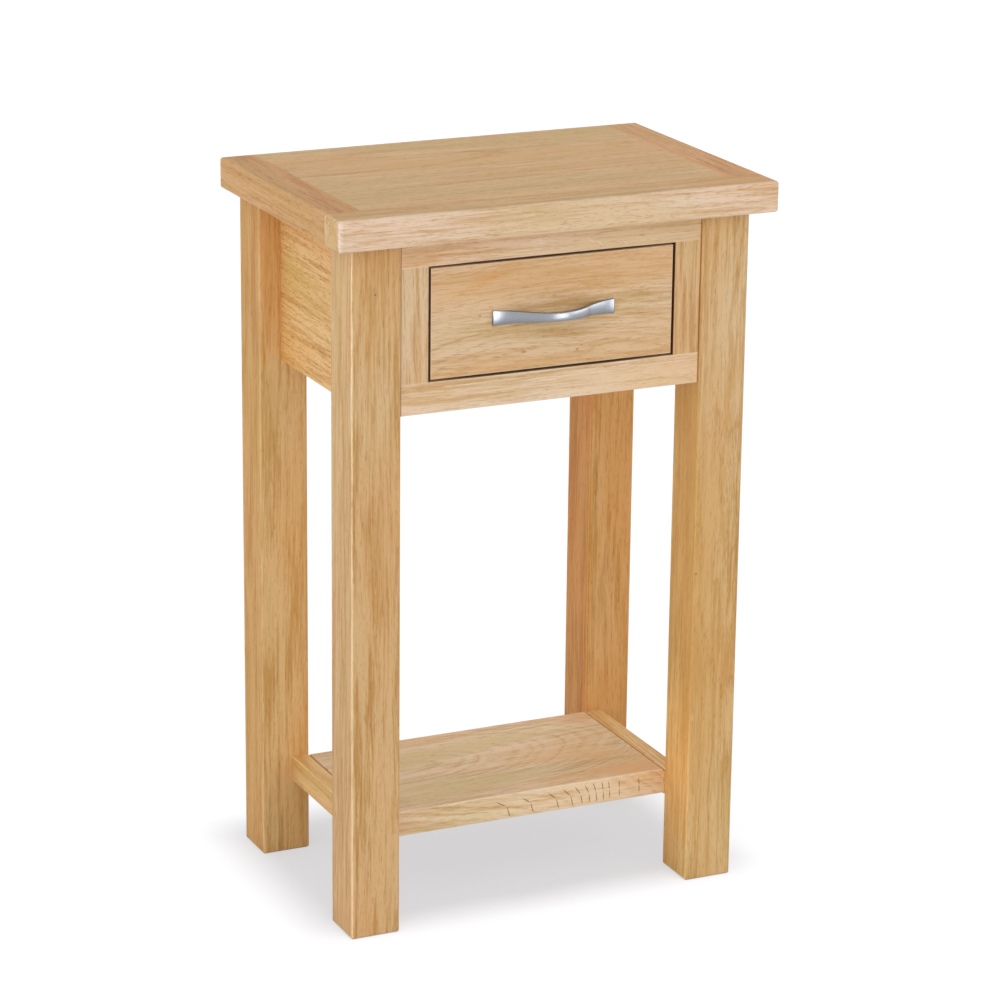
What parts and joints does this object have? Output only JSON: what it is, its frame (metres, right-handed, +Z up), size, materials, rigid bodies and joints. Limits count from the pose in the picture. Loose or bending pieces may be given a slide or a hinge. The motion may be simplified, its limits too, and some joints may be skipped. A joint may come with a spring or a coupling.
{
  "type": "telephone table",
  "caption": "Small oak hall table with square legs, a boarded top, an inset dovetailed drawer with a bow handle, and a low shelf.",
  "frame": {"origin": "on the floor, under the middle of the rectangular top", "axes": "+X to the table's right as seen from the front, +Y from the drawer's face towards the back, +Z up"},
  "size_m": [0.45, 0.3, 0.71],
  "materials": {
    "oak_top": "oiled oak, satin",
    "oak_legs": "oiled oak, satin",
    "oak_frame": "oiled oak, satin",
    "oak_shelf": "oiled oak, satin",
    "oak_drawer_front": "oiled oak, satin",
    "drawer_box_wood": "planed oak, pale",
    "plywood": "sanded plywood",
    "hidden_wood": "planed, unfinished",
    "satin_nickel": "satin nickel",
    "zinc_steel": "bright zinc"
  },
  "bodies": {
    "carcase": {"top_panel": "oak_top", "top_cleat_left": "oak_top", "top_cleat_right": "oak_top", "top_front_strip": "oak_top", "leg_front_left": "oak_legs", "leg_front_right": "oak_legs", "leg_back_left": "oak_legs", "leg_back_right": "oak_legs", "frame_top_rail": "oak_frame", "frame_bottom_rail": "oak_frame", "frame_stile_left": "oak_frame", "frame_stile_right": "oak_frame", "side_apron_left": "oak_frame", "side_apron_right": "oak_frame", "back_apron": "oak_frame", "shelf_panel": "oak_shelf", "shelf_rail_left": "oak_shelf", "shelf_rail_right": "oak_shelf", "drawer_runner_left": "hidden_wood", "drawer_runner_right": "hidden_wood", "drawer_kicker_left": "hidden_wood", "drawer_kicker_right": "hidden_wood", "drawer_stops": "hidden_wood", "frame_dowels": "hidden_wood", "top_screws": "zinc_steel", "runner_screws": "zinc_steel"},
    "drawer": {"drawer_front": "oak_drawer_front", "drawer_side_left": "drawer_box_wood", "drawer_side_right": "drawer_box_wood", "drawer_back": "drawer_box_wood", "drawer_bottom": "plywood", "handle": "satin_nickel", "handle_screws": "zinc_steel", "bottom_screws": "zinc_steel"}
  },
  "joints": [
    {"name": "drawer_slide", "type": "slide", "parent": "carcase", "child": "drawer", "axis": [0, -1, 0], "range_m": [0, 0.17]}
  ]
}
